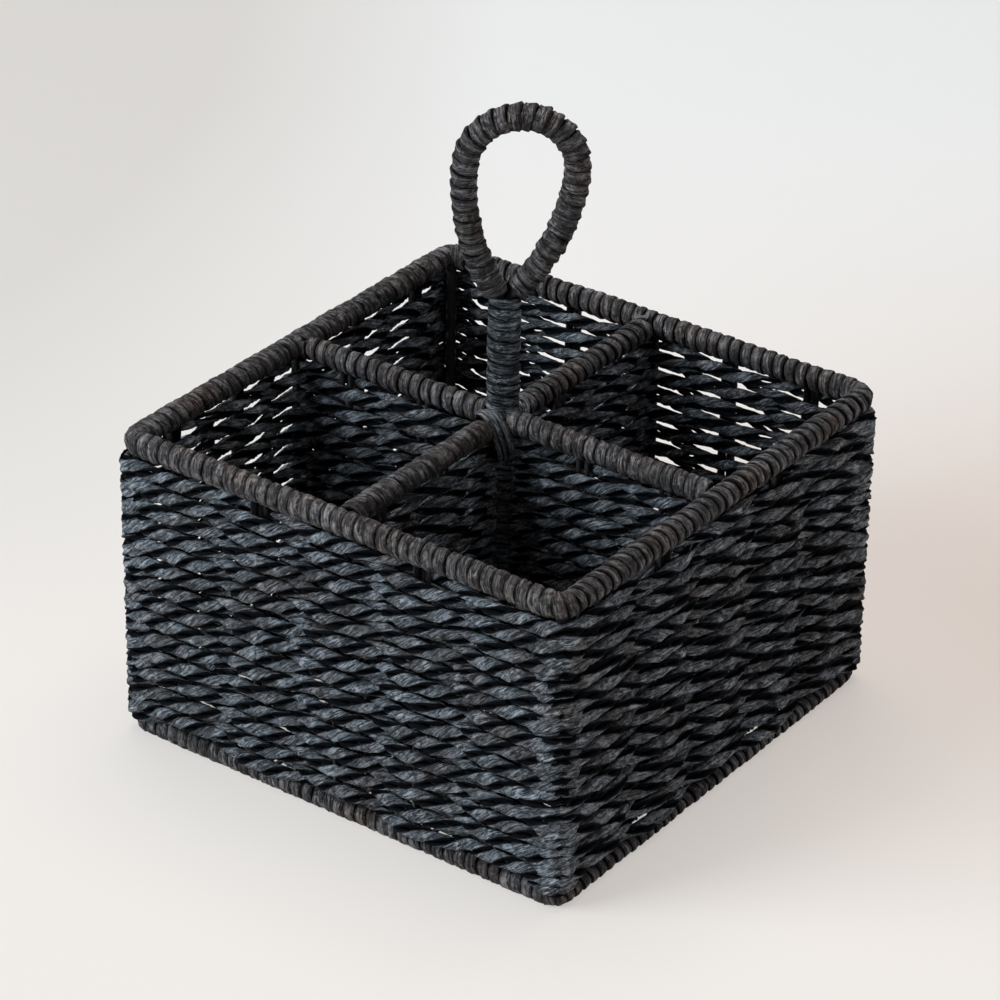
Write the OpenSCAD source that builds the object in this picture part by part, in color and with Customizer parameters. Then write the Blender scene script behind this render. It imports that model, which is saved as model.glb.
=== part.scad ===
// Woven caddy with four open compartments and a wound loop handle.
// A welded wire frame carries walls, dividers and a base of interlaced paper cord,
// and every outer wire is bound with the same cord.
// X runs along the front wall, Y to the back, Z up; the origin is the middle of the footprint.

/* [Body] */
// Width over the woven walls, along X
body_w = 200; // [186:1:230]
// Depth over the woven walls, along Y
body_d = 200; // [186:1:230]
// Height of the rim's top above the table
body_h = 126; // [100:1:160]

/* [Wire frame] */
// Diameter of the rim, base, divider and handle rods
rod_d = 4; // [3.4:0.1:4.4]
// Diameter of the upright wires that the cord is woven round
stake_d = 2; // [1.6:0.1:2.2]
// Distance between the two wires of one stake
stake_gap = 3.7; // [3:0.1:5]
// Distance between neighbouring stakes
stake_pitch = 36; // [32:0.5:37]
// Bend radius of the rods at the four corners
corner_r = 5.2; // [5:0.1:6.5]

/* [Woven cord] */
// Diameter of the woven cord
cord_d = 3.6; // [3:0.1:3.7]
// Height from one woven row to the next
row_pitch = 3.86; // [3.8:0.02:4.4]
// Clear height between the top row and the rim binding
rim_gap = 1.6; // [0.6:0.1:4]
// Diameter of the thinner cord woven into the base
base_cord_d = 3; // [2.4:0.1:3.2]
// Distance between rows of the base
base_pitch = 3.9; // [3.5:0.1:5]

/* [Bindings] */
// Thickness of the rim and divider binding over its rod, at a wrap's crest
rim_wrap = 2.75; // [2.2:0.05:2.8]
// Thickness of the base binding over its rod, at a wrap's crest
base_wrap = 1.5; // [1.2:0.05:1.8]
// Width of one wrap of a binding
wrap_pitch = 4.9; // [4:0.1:6]
// Depth of the groove between two wraps
wrap_groove = 0.45; // [0.2:0.05:0.6]
// Depth of the flat on which the base binding stands
foot_flat = 0.5; // [0.4:0.05:0.6]

/* [Handle] */
// Height of the loop's widest place above the table
loop_wide_z = 221.3; // [200:0.5:240]
// Radius of the loop's round top, to the middle of the rod
loop_r = 19.8; // [17:0.1:23]
// Radius of the long curve of each leg of the loop
leg_r = 80; // [70:1:100]
// Radius of the bend where a leg leaves the post
neck_r = 8; // [6:0.5:12]
// Sideways lean of the loop, in degrees
loop_lean = 6; // [0:0.5:8]
// Turn of the handle about the upright axis, in degrees
handle_turn = 38; // [30:1:45]
// Thickness of the winding on the loop
loop_cord_t = 2.3; // [1.8:0.1:2.6]
// Thickness of the winding on the post
post_cord_t = 1.9; // [1.5:0.1:2.2]
// Width of a wound turn
turn_w = 2.9; // [2.4:0.1:3.1]
// Rise of one turn on the loop
loop_turn = 4.2; // [4.1:0.1:5]
// Rise of one turn on the post
post_turn = 4.4; // [4:0.1:5.2]
// Diameter of the strand that lashes the crossing
lash_d = 2.6; // [2:0.1:2.8]

/* [Hidden] */
$fn = 48;

wire_black = "#1b1b1d";
cord_charcoal = "#2d2e32";
binding_charcoal = "#35353a";

// Clear room left round every soft piece, and round a wire that passes a binding
clear = 0.3;
// Room between the winding and its rod
winding_clear = 0.2;
rod_r = rod_d / 2;
stake_r = stake_d / 2;
cord_r = cord_d / 2;
base_cord_r = base_cord_d / 2;
rim_r = rod_r + rim_wrap;
base_r = rod_r + base_wrap;
bore_r = rod_r + clear;

// Depth from a stake's middle to the middle of the cord that passes it
wave = stake_r + clear + cord_r;
base_wave = stake_r + clear + base_cord_r;
// Distance of the wire frame's middle from the outside of the walls
frame_in = wave + cord_r;
// Distance of the corner posts from the outside of the walls, under the rim rod's bend
post_in = frame_in + corner_r * (1 - cos(45));
bend_r = post_in - cord_r;
crest_flat = stake_gap / 2 + stake_r + 0.2;

rim_z = body_h - rim_r;
base_z = base_r - foot_flat;
base_wire_z = base_z + rod_r - stake_r + 0.6;
row_top_z = rim_z - rim_r - rim_gap - cord_r;
row_low_z = base_z + base_r + clear + cord_r;
rows = floor((row_top_z - row_low_z) / row_pitch) + 1;
// Stakes stand at the middle of a wall and at this many places each side of it
side_stakes = 2;

// The dividers' rows start beside the post and end at the inside of the walls
wall_inside = frame_in + wave + cord_r;
shank_off = rod_r + 0.05;
post_half = shank_off + rod_r + winding_clear + post_cord_t + 0.3;
panel_start = post_half + clear;

function wall_length(k) = k % 2 == 0 ? body_w : body_d;
function wall_reach(k) = (k % 2 == 0 ? body_d : body_w) / 2;

// ---- Placing -------------------------------------------------------------------------

// A wall's own frame: x along the wall, y outwards from the frame's middle; 0 is the front
module on_wall(k) {
    rotate([0, 0, 180 + 90 * k])
        translate([0, wall_reach(k) - frame_in, 0])
            children();
}

// A half divider's own frame: x from the post towards wall k
module on_divider(k) {
    rotate([0, 0, 90 * k - 90])
        children();
}

// The handle's own frame: x across the loop, z up
module on_handle() {
    rotate([0, 0, handle_turn])
        children();
}

// ---- Rods and cord -------------------------------------------------------------------

// A stretch of round rod on an arc round [x, y], between two angles
module rod_arc(x, y, bend, from, to) {
    translate([x, y, 0])
        rotate([0, 0, from])
            rotate_extrude(angle = to - from)
                translate([bend, 0])
                    circle(rod_r);
}

// Seen from above, a woven cord lies flat over each stake and swings across between two.
// Points of one swing in so many steps, from x = a to x = b and from depth p to depth q
wall_steps = 3;
panel_steps = 1;
function swing(a, b, p, q, steps) =
    [for (i = [0:steps])
        let (t = i / steps)
        [a + (b - a) * t, p + (q - p) * (1 - cos(180 * t)) / 2]];

function reversed(v) = [for (i = [len(v) - 1:-1:0]) v[i]];
function shifted(v, y) = [for (p = v) [p[0], p[1] + y]];
function mirrored(v) = [for (p = v) [-p[0], p[1]]];

// Outline of a cord along a line of points
function band(line, r) = concat(shifted(line, r), reversed(shifted(line, -r)));

// A cord's quarter turn outside a corner post ends on the mitre with the next wall
function corner_bend(x, r, from, step, to) =
    [for (a = [from:step:to]) [x + r * cos(a), wave - bend_r + r * sin(a)]];

// Right half of one wall row, from the middle stake to the corner
function half_row(corner, first_side) =
    let (last = side_stakes * stake_pitch)
    concat(
        [for (k = [0:side_stakes - 1])
            let (side = (k + side_stakes) % 2 == 0 ? first_side : -first_side)
            each swing(k * stake_pitch + crest_flat, (k + 1) * stake_pitch - crest_flat,
                side * wave, -side * wave, wall_steps)],
        first_side > 0 ? [[corner, wave]] :
        swing(last + crest_flat, corner, -wave, wave, wall_steps)
    );

// One row of a wall: it weaves in and out of the stakes and passes outside both corners
module wall_row(length, first_side) {
    corner = length / 2 - post_in;
    half = half_row(corner, first_side);
    line = concat(reversed(mirrored(half)), half);
    outer = corner_bend(corner, bend_r + cord_r, 75, -15, 45);
    inner = corner_bend(corner, bend_r - cord_r, 45, 15, 75);
    translate([0, 0, -cord_r])
        linear_extrude(cord_d)
            polygon(concat(reversed(mirrored(outer)), shifted(line, cord_r), outer, inner,
                reversed(shifted(line, -cord_r)), reversed(mirrored(inner))));
}

// One row of a panel between the post and a wall, in and out of two stakes
module panel_row(start, stop, depth, side, r) {
    line = concat(
        swing(start, stake_pitch - crest_flat, 0, side * depth, panel_steps),
        swing(stake_pitch + crest_flat, 2 * stake_pitch - crest_flat, side * depth,
            -side * depth, panel_steps),
        swing(2 * stake_pitch + crest_flat, stop, -side * depth, 0, panel_steps)
    );
    translate([0, 0, -r])
        linear_extrude(2 * r)
            polygon(band(line, r));
}

module wall_weave(k) {
    color(cord_charcoal)
        on_wall(k)
            for (i = [0:rows - 1])
                translate([0, 0, row_top_z - i * row_pitch])
                    wall_row(wall_length(k), i % 2 == 0 ? 1 : -1);
}

module divider_weave(k) {
    color(cord_charcoal)
        on_divider(k)
            for (i = [0:rows - 1])
                translate([0, 0, row_top_z - i * row_pitch])
                    panel_row(panel_start, wall_reach(k) - wall_inside - clear,
                        wave, i % 2 == 0 ? 1 : -1, cord_r);
}

// The base of one compartment: rows along X, woven round wires that run along Y
module base_weave(right, back) {
    edge = wave + cord_r + clear;
    reach_x = body_w / 2 - wall_inside - clear;
    reach_y = body_d / 2 - wall_inside - clear;
    gaps = floor((reach_y - edge - base_cord_d) / base_pitch);
    step = (reach_y - edge - base_cord_d) / gaps;
    color(cord_charcoal)
        mirror([right ? 0 : 1, 0, 0])
            mirror([0, back ? 0 : 1, 0])
                for (i = [0:gaps])
                    translate([0, edge + base_cord_r + i * step, base_wire_z])
                        rotate([90, 0, 0])
                            panel_row(edge, reach_x, base_wave,
                                i % 2 == 0 ? 1 : -1, base_cord_r);
}

// ---- Wires and rods ------------------------------------------------------------------

// Rod bent into a rectangle with round corners
module rod_ring(z) {
    straight_x = body_w - 2 * (frame_in + corner_r);
    straight_y = body_d - 2 * (frame_in + corner_r);
    translate([0, 0, z])
        for (k = [0:3]) {
            run = k % 2 == 0 ? straight_x : straight_y;
            on_wall(k) {
                translate([-run / 2, 0, 0])
                    rotate([0, 90, 0])
                        cylinder(r = rod_r, h = run);
                rod_arc(run / 2, -corner_r, corner_r, 0, 90);
            }
        }
}

// A pair of upright wires, welded between two rods
module stake_pair(x) {
    for (side = [-1, 1])
        translate([x + side * stake_gap / 2, 0, base_z + rod_r])
            cylinder(r = stake_r, h = rim_z - base_z - rod_d);
}

module wall_stakes(k) {
    color(wire_black)
        on_wall(k)
            for (i = [-side_stakes:side_stakes])
                stake_pair(i * stake_pitch);
}

module corner_posts() {
    color(wire_black)
        for (x = [-1, 1], y = [-1, 1])
            translate([x * (body_w / 2 - post_in), y * (body_d / 2 - post_in), base_z + rod_r])
                cylinder(r = rod_r, h = rim_z - base_z - rod_d);
}

// Rods from the handle's post to the middle of each wall
module divider_rods(z) {
    start = shank_off + rod_r;
    for (k = [0:3])
        on_divider(k)
            translate([start, 0, z])
                rotate([0, 90, 0])
                    cylinder(r = rod_r, h = wall_reach(k) - frame_in - rod_r - start);
}

module divider_stakes() {
    color(wire_black)
        for (k = [0:3], i = [1:side_stakes])
            on_divider(k)
                stake_pair(i * stake_pitch);
}

// Pairs of wires under the base weave, from the divider's base rod to the base ring
module base_stakes() {
    run = body_d / 2 - frame_in - rod_d;
    color(wire_black)
        for (x = [-1, 1], y = [-1, 1], i = [1:side_stakes], side = [-1, 1])
            translate([x * i * stake_pitch + side * stake_gap / 2, y * rod_r, base_wire_z])
                rotate([-90 * y, 0, 0])
                    cylinder(r = stake_r, h = run);
}

// ---- Bindings ------------------------------------------------------------------------

// Outline of wrap beside wrap, as [radius, place along the rod]
function wraps(run, crest_r) =
    let (count = max(1, round(run / wrap_pitch)), facets = 4)
    [for (i = [0:count * facets])
        [crest_r - wrap_groove * (1 - pow(sin(180 * (i % facets) / facets), 0.7)),
            run * i / (count * facets)]];

// Binding on a straight stretch of rod, from x = 0 to x = run
module bound_rod(run, crest_r) {
    rotate([0, 90, 0])
        rotate_extrude()
            polygon(concat([[bore_r, 0]], wraps(run, crest_r), [[bore_r, run]]));
}

// Slot in a binding where a pair of wires reaches the rod. up is 1 from above, -1 from below
module pair_slot(x, up, crest_r) {
    width = stake_gap + stake_d + 2 * clear;
    translate([x - width / 2, -stake_r - clear, up > 0 ? 0 : -crest_r - 1])
        cube([width, stake_d + 2 * clear, crest_r + 1]);
}

// Slot in a binding where a rod comes in from the inside of the caddy
module rod_slot(crest_r) {
    width = rod_d + 2 * clear;
    translate([-width / 2, -crest_r - 1, -width / 2])
        cube([width, crest_r + 1, width]);
}

// Binding of one straight side of the rim or base ring
module bound_side(k, z, crest_r, up) {
    run = wall_length(k) - 2 * (frame_in + corner_r + clear);
    on_wall(k)
        translate([0, 0, z])
            difference() {
                translate([-run / 2, 0, 0])
                    bound_rod(run, crest_r);
                for (i = [-side_stakes:side_stakes])
                    pair_slot(i * stake_pitch, up, crest_r);
                rod_slot(crest_r);
                children();
            }
}

// Bindings round the four bends of a ring, open where a corner post meets the rod
module bound_corners(z, crest_r, up) {
    width = rod_d + 2 * clear;
    reach = corner_r * cos(45);
    for (k = [0:3])
        on_wall(k)
            translate([wall_length(k) / 2 - frame_in - corner_r, -corner_r, z])
                difference() {
                    rotate_extrude(angle = 90)
                        translate([corner_r, 0])
                            difference() {
                                circle(crest_r - wrap_groove / 2);
                                circle(bore_r);
                            }
                    translate([reach - width / 2, reach - width / 2, up > 0 ? 0 : -crest_r - 1])
                        cube([width, width, crest_r + 1]);
                    children();
                }
}

module rim_binding(k) {
    color(binding_charcoal)
        bound_side(k, rim_z, rim_r, -1);
}

module rim_corner_bindings() {
    color(binding_charcoal)
        bound_corners(rim_z, rim_r, -1);
}

// Below this block the base binding is cut away, so that it stands on a flat
module floor_block(size) {
    translate([-size / 2, -size / 2, -base_r - 1])
        cube([size, size, 1 + foot_flat]);
}

// The base binding also lets the base wires in, on the front and the back
module base_binding(k) {
    color(binding_charcoal)
        bound_side(k, base_z, base_r, 1) {
            floor_block(wall_length(k));
            if (k % 2 == 0)
                for (x = [-1, 1], i = [1:side_stakes]) {
                    width = stake_gap + stake_d + 2 * clear;
                    translate([x * i * stake_pitch - width / 2, -base_r - 1,
                            base_wire_z - base_z - stake_r - clear])
                        cube([width, base_r + 1, base_r + 1]);
                }
        }
}

module base_corner_bindings() {
    color(binding_charcoal)
        bound_corners(base_z, base_r, 1)
            floor_block(4 * (corner_r + base_r));
}

module divider_binding(k) {
    start = post_half + clear;
    run = wall_reach(k) - frame_in - rim_r - clear - start;
    color(binding_charcoal)
        on_divider(k)
            translate([start, 0, rim_z])
                difference() {
                    bound_rod(run, rim_r);
                    for (i = [1:side_stakes])
                        pair_slot(i * stake_pitch - start, -1, rim_r);
                }
}

// ---- Handle --------------------------------------------------------------------------

// Leans a point [across, up] of the loop about the middle of the junction
junction_z = loop_wide_z - leg_r * 0.62;
function lean(across, up) = [
    across * cos(loop_lean) + (up - junction_z) * sin(loop_lean),
    junction_z + (up - junction_z) * cos(loop_lean) - across * sin(loop_lean)
];

// Centres of the round top and of the two legs' long curves; side is -1 left and 1 right
top_at = lean(0, loop_wide_z);
function leg_at(side) = lean(side * (loop_r - leg_r), loop_wide_z);

// How far a leg points outwards where its middle is a given distance off the post's middle
function leg_angle(side, off) = acos((off - side * leg_at(side)[0]) / leg_r);
// The same at the end of its neck, whose bend starts upright above the post
function neck_angle(side) = acos((shank_off + neck_r - side * leg_at(side)[0]) / (leg_r + neck_r));
function neck_z(side) = leg_at(side)[1] - (leg_r + neck_r) * sin(neck_angle(side));

// Places along an arc, each as [across, up] and the direction in the plane away from or
// towards the arc's centre
function arc_places(at, r, from, to, steps, inwards) =
    [for (i = [0:steps])
        let (a = from + (to - from) * i / steps)
        [at + r * [cos(a), sin(a)], inwards * [-cos(a), -sin(a)]]];

// Middle line of the handle's rod: up the post, out into a leg, over the top and down again
foot_z = base_z - rod_r;
rod_places = concat(
    [[[-shank_off, foot_z], [1, 0]]],
    arc_places([-shank_off - neck_r, neck_z(-1)], neck_r, 0, neck_angle(-1), 4, -1),
    arc_places(leg_at(-1), leg_r, 180 + neck_angle(-1) - 1, 180 - loop_lean + 1, 5, 1),
    arc_places(top_at, loop_r, 180 - loop_lean, -loop_lean, 18, 1),
    arc_places(leg_at(1), leg_r, -loop_lean - 1, -neck_angle(1) + 1, 5, 1),
    arc_places([shank_off + neck_r, neck_z(1)], neck_r, 180 - neck_angle(1), 180, 4, -1),
    [[[shank_off, foot_z], [-1, 0]]]
);

// A closed skin over rings of points
module skin(rings) {
    count = len(rings);
    n = len(rings[0]);
    sides = [for (i = [0:count - 2], j = [0:n - 1])
        let (a = i * n + j, b = i * n + (j + 1) % n)
        each [[a, b, b + n], [a, b + n, a + n]]];
    caps = [for (j = [1:n - 2])
        each [[0, j + 1, j], [(count - 1) * n, (count - 1) * n + j, (count - 1) * n + j + 1]]];
    polyhedron(points = [for (ring = rings) each ring], faces = concat(sides, caps),
        convexity = 10);
}

rod_sides = 12;
module handle_rod() {
    color(wire_black)
        on_handle()
            skin([for (place = rod_places)
                [for (j = [0:rod_sides - 1])
                    let (a = 360 * j / rod_sides, in = place[1] * cos(a))
                    [place[0][0], 0, place[0][1]] + rod_r * [in[0], -sin(a), in[1]]]]);
}

// Each place on a winding is [middle, direction away from the rod]. A turn lies flat on its
// rod and has a ridge outside.
turn_sides = 5;
side_step = 360 / turn_sides;
function unit(v) = v / norm(v);
function ring_at(path, i, width, thick) =
    let (
        before = path[max(0, i - 1)][0],
        after = path[min(len(path) - 1, i + 1)][0],
        along = unit(after - before),
        side = unit(cross(along, path[i][1])),
        out = cross(side, along),
        half = width / 2 / cos(side_step / 4),
        high = thick / (1 + cos(side_step / 2))
    )
    [for (j = [0:turn_sides - 1])
        path[i][0] + side * half * cos(90 + side_step * j)
            + out * (thick / 2 - high + high * sin(90 + side_step * j))];

module wound_tube(path, width, thick) {
    skin([for (i = [0:len(path) - 1]) ring_at(path, i, width, thick)]);
}

// Least distance between points of neighbouring turns
function least_gap(path, width, thick, per_turn) =
    min([for (i = [0:len(path) - per_turn - 2], step = [per_turn - 1:per_turn + 1])
        if (i + step < len(path))
            let (a = ring_at(path, i, width, thick), b = ring_at(path, i + step, width, thick))
            min([for (p = a, q = b) norm(p - q)])]);

// Straight ends, one tube wide, carried on from the first and last turn
function with_ends(path, width) =
    let (
        n = len(path) - 1,
        first = unit(path[0][0] - path[1][0]),
        last = unit(path[n][0] - path[n - 1][0])
    )
    concat([[path[0][0] + first * width, path[0][1]]], path,
        [[path[n][0] + last * width, path[n][1]]]);

rings_per_turn = 8;
ring_step = 360 / rings_per_turn;
function turn_radius(thick) =
    (rod_r + winding_clear + thick / 2) / cos(ring_step / 2);

// The loop's winding runs up the left leg, over the top and down the right leg.
// A place on its middle line is [across, up], with the direction that points into the loop.
wound_from = rod_r + winding_clear + loop_cord_t + 1.6;
left_turned = leg_angle(-1, wound_from) + loop_lean;
right_turned = leg_angle(1, wound_from) - loop_lean;
left_length = leg_r * left_turned * PI / 180;
top_length = loop_r * PI;
right_length = leg_r * right_turned * PI / 180;
loop_length = left_length + top_length + right_length;

function on_circle(at, r, angle) =
    [at + r * [cos(angle), sin(angle)], [-cos(angle), -sin(angle)]];
function loop_place(s) =
    s < left_length ?
    on_circle(leg_at(-1), leg_r, 180 - loop_lean + left_turned * (1 - s / left_length)) :
    s < left_length + top_length ?
    on_circle(top_at, loop_r, 180 - loop_lean - 180 * (s - left_length) / top_length) :
    on_circle(leg_at(1), leg_r, -loop_lean - right_turned * (1 - (loop_length - s) / right_length));

loop_path =
    let (count = floor(loop_length / loop_turn * rings_per_turn), out = turn_radius(loop_cord_t))
    [for (i = [0:count])
        let (
            place = loop_place(loop_length * i / count),
            angle = ring_step * i,
            dir = [place[1][0] * cos(angle), sin(angle), place[1][1] * cos(angle)]
        )
        [[place[0][0], 0, place[0][1]] + out * dir, dir]];

// Turns round both rods of the post, from one height to another
function post_path(low, high) =
    let (count = floor((high - low) / post_turn * rings_per_turn), out = turn_radius(post_cord_t))
    [for (i = [0:count])
        let (
            angle = ring_step * (i + 0.5),
            dir = [cos(angle), sin(angle), 0],
            end = cos(angle) > 0 ? shank_off : -shank_off
        )
        [[end, 0, low + post_turn * i / rings_per_turn] + out * dir, dir]];

wound_room = turn_w / 2 + clear + 0.5;
lower_path = with_ends(post_path(base_z + rod_r + wound_room, rim_z - rod_r - wound_room), turn_w);
upper_path = with_ends(post_path(rim_z + rod_r + wound_room, min(neck_z(-1), neck_z(1)) + 1), turn_w);
whole_loop = with_ends(loop_path, turn_w);

module lower_post_winding() {
    color(binding_charcoal)
        on_handle()
            wound_tube(lower_path, turn_w, post_cord_t);
}

module upper_post_winding() {
    color(binding_charcoal)
        on_handle()
            wound_tube(upper_path, turn_w, post_cord_t);
}

module loop_winding() {
    color(binding_charcoal)
        on_handle()
            wound_tube(whole_loop, turn_w, loop_cord_t);
}

// One strand round the post's foot, over the four divider bindings and down between them
lash_reach = post_half + lash_d / 2 + 1;
lash_over = rim_r + clear + lash_d / 2 + 0.3;
lash_from = 57;
lash_to = 393;
lash_rings = 28;
lash_tail = 3.5;
function lash_lift(a) =
    let (off = lash_reach * sin(min(abs(a % 90), 90 - abs(a % 90))))
    off < lash_over ? sqrt(lash_over * lash_over - off * off) : 0;
function lash_point(a) = [lash_reach * cos(a), lash_reach * sin(a), rim_z + lash_lift(a)];
lash_path = concat(
    [[lash_point(lash_from) - [0, 0, lash_tail], [cos(lash_from), sin(lash_from), 0]]],
    [for (i = [0:lash_rings - 1])
        let (a = lash_from + (lash_to - lash_from) * i / (lash_rings - 1))
        [lash_point(a), [cos(a), sin(a), 0]]],
    [[lash_point(lash_to) - [0, 0, lash_tail], [cos(lash_to), sin(lash_to), 0]]]
);

module crossing_lashing() {
    color(binding_charcoal)
        wound_tube(lash_path, lash_d, lash_d);
}

echo(rows = rows);
echo(least_gap_on_loop = least_gap(whole_loop, turn_w, loop_cord_t, rings_per_turn));
echo(least_gap_on_post = least_gap(lower_path, turn_w, post_cord_t, rings_per_turn));

color(wire_black) rod_ring(rim_z);  // rim_rod
color(wire_black) rod_ring(base_z);  // base_rod
corner_posts();
wall_stakes(0);  // front_stakes
wall_stakes(1);  // right_stakes
wall_stakes(2);  // back_stakes
wall_stakes(3);  // left_stakes
color(wire_black) divider_rods(rim_z);  // divider_top_rods
color(wire_black) divider_rods(base_z);  // divider_base_rods
divider_stakes();
base_stakes();
handle_rod();
wall_weave(0);  // front_weave
wall_weave(1);  // right_weave
wall_weave(2);  // back_weave
wall_weave(3);  // left_weave
divider_weave(0);  // front_divider_weave
divider_weave(1);  // right_divider_weave
divider_weave(2);  // back_divider_weave
divider_weave(3);  // left_divider_weave
base_weave(false, false);  // base_weave_front_left
base_weave(true, false);  // base_weave_front_right
base_weave(true, true);  // base_weave_back_right
base_weave(false, true);  // base_weave_back_left
rim_binding(0);  // rim_binding_front
rim_binding(1);  // rim_binding_right
rim_binding(2);  // rim_binding_back
rim_binding(3);  // rim_binding_left
rim_corner_bindings();
base_binding(0);  // base_binding_front
base_binding(1);  // base_binding_right
base_binding(2);  // base_binding_back
base_binding(3);  // base_binding_left
base_corner_bindings();
divider_binding(0);  // divider_binding_front
divider_binding(1);  // divider_binding_right
divider_binding(2);  // divider_binding_back
divider_binding(3);  // divider_binding_left
lower_post_winding();
upper_post_winding();
loop_winding();
crossing_lashing();
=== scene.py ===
"""Woven caddy: paper cord over a wire frame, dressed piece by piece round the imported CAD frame."""

import math

import bpy
from mathutils import Matrix, Vector


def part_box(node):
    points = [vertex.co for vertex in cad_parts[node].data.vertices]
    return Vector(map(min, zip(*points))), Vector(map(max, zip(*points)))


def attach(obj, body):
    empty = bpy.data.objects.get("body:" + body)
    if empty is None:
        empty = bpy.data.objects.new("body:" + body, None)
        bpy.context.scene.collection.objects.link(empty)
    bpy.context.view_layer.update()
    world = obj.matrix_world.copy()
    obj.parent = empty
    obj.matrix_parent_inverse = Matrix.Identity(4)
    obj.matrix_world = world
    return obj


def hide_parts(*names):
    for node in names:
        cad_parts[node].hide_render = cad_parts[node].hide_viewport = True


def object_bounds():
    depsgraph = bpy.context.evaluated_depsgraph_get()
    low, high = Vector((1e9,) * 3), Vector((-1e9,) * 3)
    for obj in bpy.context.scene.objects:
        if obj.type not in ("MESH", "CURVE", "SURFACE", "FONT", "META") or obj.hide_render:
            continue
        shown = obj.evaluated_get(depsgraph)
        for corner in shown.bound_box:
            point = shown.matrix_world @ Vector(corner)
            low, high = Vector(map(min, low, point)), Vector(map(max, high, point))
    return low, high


bl_info = {
    "name": "Woven Caddy",
    "version": (1, 0, 0),
    "blender": (4, 5, 0),
    "location": "View3D > Sidebar > Caddy",
    "description": "Builds the woven cord, the bindings and the handle's windings of the caddy",
    "category": "Object",
}

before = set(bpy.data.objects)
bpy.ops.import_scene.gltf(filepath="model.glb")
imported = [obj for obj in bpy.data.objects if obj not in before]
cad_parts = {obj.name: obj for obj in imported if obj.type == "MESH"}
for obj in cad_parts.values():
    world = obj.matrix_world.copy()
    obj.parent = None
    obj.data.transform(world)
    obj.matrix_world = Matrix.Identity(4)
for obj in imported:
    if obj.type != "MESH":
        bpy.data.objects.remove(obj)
CAD_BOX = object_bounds()
MM = 0.001
TAU = 2 * math.pi

# Sizes that the frame gives, in metres
RIM_LOW, RIM_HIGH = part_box("rim_rod")
BASE_LOW, BASE_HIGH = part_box("base_rod")
ROD_R = (RIM_HIGH.z - RIM_LOW.z) / 2
RIM_Z = (RIM_HIGH.z + RIM_LOW.z) / 2
BASE_Z = (BASE_HIGH.z + BASE_LOW.z) / 2
# Middle line of the rim rod, from the caddy's middle, along X and Y
HALF_X = RIM_HIGH.x - ROD_R
HALF_Y = RIM_HIGH.y - ROD_R
WALL_HALF_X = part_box("right_weave")[1].x
TOP_ROW_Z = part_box("front_weave")[1].z

WALL_NAMES = ("front", "right", "back", "left")
# Turns of the plies that each wall is short of the full twist
FEWER_TURNS = (0, 2, 1, 1)
# Distance between the places of a woven cord's guide line
ROW_STEP = 1 * MM
# Half the width of a base cord
BASE_CORD_HALF = 1.5 * MM

# The photo's camera: its angles in degrees, and its place to the right, up and back, in metres
AZIMUTH, ELEVATION, ROLL = 35.93, 29.70, 0.91
CAMERA_PLACE = (0.00068, 0.07554, 1.5768)
LENS, SENSOR = 150.68, 36
# The floor's reach towards the camera and away from it, half its width, its bend up into the
# backdrop and the backdrop's top, in metres
FLOOR_NEAR, FLOOR_FAR, FLOOR_HALF, FLOOR_BEND, BACKDROP_TOP = 1.6, 1.5, 2.4, 0.6, 2.4
# Share of the floor's own light in what the camera, gloss and glass see
FLOOR_GLOW = 0.6
# Lamps: name; place to the right, away from the camera and up; width and height; watts; colour
LAMPS = (
    ("left_lamp", (-1.5, -0.5, 1.0), (1.0, 1.4), 44, (0.86, 0.95, 1.0)),
    ("top_lamp", (0.1, 0.5, 2.0), (1.8, 1.6), 34, (1.0, 0.95, 0.91)),
    ("right_lamp", (1.3, -1.5, 0.9), (2.2, 1.8), 9, (1.0, 0.96, 0.93)),
)
# The place that the lamps point at
LAMP_AIM = Vector((0, 0, 0.08))
WORLD_COLOUR, WORLD_STRENGTH = (0.95, 0.96, 1.0, 1), 0.15

# How far apart rows and strands look at the noise, and how a strand's first angle grows by seed
ROW_SEED, STRAND_SEED, SEED_ANGLE = 5.3, 1.7, 2.4
# How fine the noise is that moves rows, loosens the twist, and shifts and swells the strands,
# and what is added to the seed, so that each sees a noise of its own
DRIFT, LOOSE, RIDE, SLIDE, LUMP = 34.0, 22.0, 190.0, 150.0, 75.0
LOOSE_SEED, RIDE_SEED, SLIDE_SEED, LUMP_SEED = 40.0, 19.0, 31.0, 7.0
# How fine the creases are along a strand and round it, and how far apart strands look at them
CREASE_ALONG, CREASE_ROUND, CREASE_SEED = 110.0, 2.4, 3.0
# What every bound wire's cord has in common
BOUND = {"lap": 0.3 * MM, "loose_twist": 2.2, "creases": 0.3, "bulge": 0.12, "fibre_turn": 60.0}


# ---- Node expressions ------------------------------------------------------------------


class Field:
    """A node's output that takes part in Python expressions."""

    def __init__(self, nodes, socket):
        self.nodes = nodes
        self.socket = socket

    def _is_vector(self, other):
        return self.socket.type == "VECTOR" or (
            isinstance(other, Field) and other.socket.type == "VECTOR"
        )

    def _pair(self, operation, a, b):
        if isinstance(a, Field) and a._is_vector(b) or isinstance(b, Field) and b._is_vector(a):
            return self.nodes.vectors(operation, {0: a, 1: b})
        return self.nodes.math(operation, a, b)

    def __add__(self, other):
        return self._pair("ADD", self, other)

    def __radd__(self, other):
        return self._pair("ADD", other, self)

    def __sub__(self, other):
        return self._pair("SUBTRACT", self, other)

    def __rsub__(self, other):
        return self._pair("SUBTRACT", other, self)

    def __mul__(self, other):
        return self._pair("MULTIPLY", self, other)

    def __rmul__(self, other):
        return self._pair("MULTIPLY", other, self)

    def __truediv__(self, other):
        return self._pair("DIVIDE", self, other)

    def __pow__(self, other):
        return self._pair("POWER", self, other)


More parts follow.
